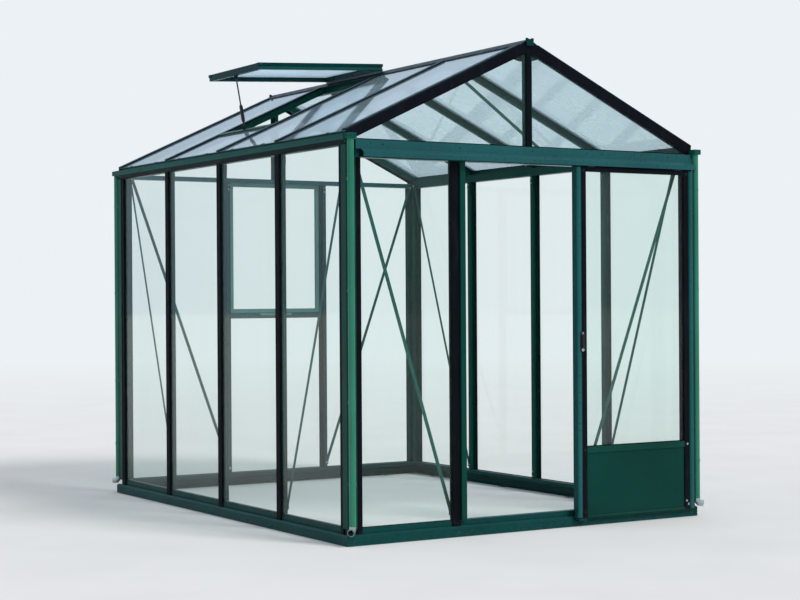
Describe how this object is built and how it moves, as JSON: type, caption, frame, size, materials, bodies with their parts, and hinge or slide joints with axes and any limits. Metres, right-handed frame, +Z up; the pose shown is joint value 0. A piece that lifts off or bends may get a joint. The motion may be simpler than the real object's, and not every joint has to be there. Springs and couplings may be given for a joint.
{
  "type": "glass greenhouse",
  "caption": "Small garden greenhouse in dark green aluminium with a sliding door in the front gable, a propped roof vent, a rear window and gutters with downpipes.",
  "frame": {"origin": "the centre of the whole outline, on the ground", "axes": "+Z up; the front gable with the sliding door faces -Y; +X is to the right seen from the front"},
  "size_m": [2.398, 3.23, 2.7546],
  "materials": {
    "green_metal": "satin",
    "black_rubber": "matte",
    "clear_glass": "gloss",
    "bare_aluminium": "satin",
    "black_plastic": "matte"
  },
  "bodies": {
    "frame": {"base_ends": "green_metal", "base_sides": "green_metal", "corner_posts": "green_metal", "front_wall_posts": "green_metal", "rear_wall_posts": "green_metal", "side_wall_posts": "green_metal", "door_jambs": "green_metal", "front_tie_beam": "green_metal", "rear_tie_beam": "green_metal", "door_hood": "green_metal", "gutter_floors": "green_metal", "gutter_faces": "green_metal", "gutter_end_caps": "green_metal", "eaves_beams": "green_metal", "ridge_beam": "green_metal", "ridge_cap": "green_metal", "gable_rafters": "green_metal", "king_posts": "green_metal", "roof_bars": "green_metal", "cover_strips_front": "black_rubber", "cover_strips_rear": "black_rubber", "cover_strips_sides": "black_rubber", "roof_strips": "black_rubber", "glass_front": "clear_glass", "glass_rear": "clear_glass", "glass_sides": "clear_glass", "glass_gables": "clear_glass", "glass_roof": "clear_glass", "wall_braces": "green_metal", "roof_braces": "green_metal", "downpipes": "green_metal", "downpipe_spouts": "bare_aluminium", "vent_side_rails": "green_metal", "vent_end_rails": "green_metal", "vent_glass": "clear_glass", "vent_hinge": "green_metal", "vent_sill": "green_metal", "vent_opener": "bare_aluminium", "rear_transom": "green_metal", "window_sash": "green_metal", "window_glass": "clear_glass", "window_handle": "black_plastic", "door_guide": "black_plastic"},
    "door": {"door_stiles": "green_metal", "door_rails": "green_metal", "door_seals": "black_rubber", "door_glass": "clear_glass", "door_kick_panel": "green_metal", "door_lock": "black_plastic", "door_hangers": "bare_aluminium"}
  },
  "joints": [
    {"name": "door_slide", "type": "slide", "parent": "frame", "child": "door", "axis": [-1, 0, 0], "range_m": [0, 0.772]}
  ]
}
